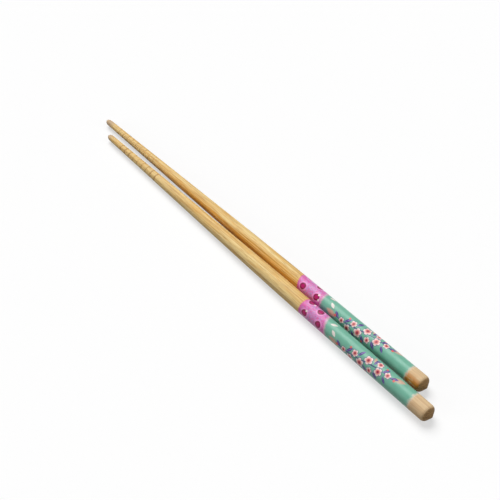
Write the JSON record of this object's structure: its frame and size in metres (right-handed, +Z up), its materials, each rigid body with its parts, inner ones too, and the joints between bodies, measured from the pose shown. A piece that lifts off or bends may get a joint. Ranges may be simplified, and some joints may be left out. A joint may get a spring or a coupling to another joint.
{
  "type": "pair of bamboo chopsticks",
  "caption": "Slim round bamboo chopsticks with ringed, rounded tips, a long even taper and straight printed handles with bare ends turned to a low point, lying side by side; for picking up food.",
  "frame": {"origin": "middle of the pair's outline, on the table that it lies on", "axes": "+X from the tips to the handle ends, +Y from the front stick to the rear one, +Z up"},
  "size_m": [0.2362, 0.0158, 0.0078],
  "materials": {
    "bamboo": "satin lacquered bamboo, pink and mint print on the handle"
  },
  "bodies": {
    "root": {"front_chopstick": "bamboo", "rear_chopstick": "bamboo"}
  },
  "joints": []
}
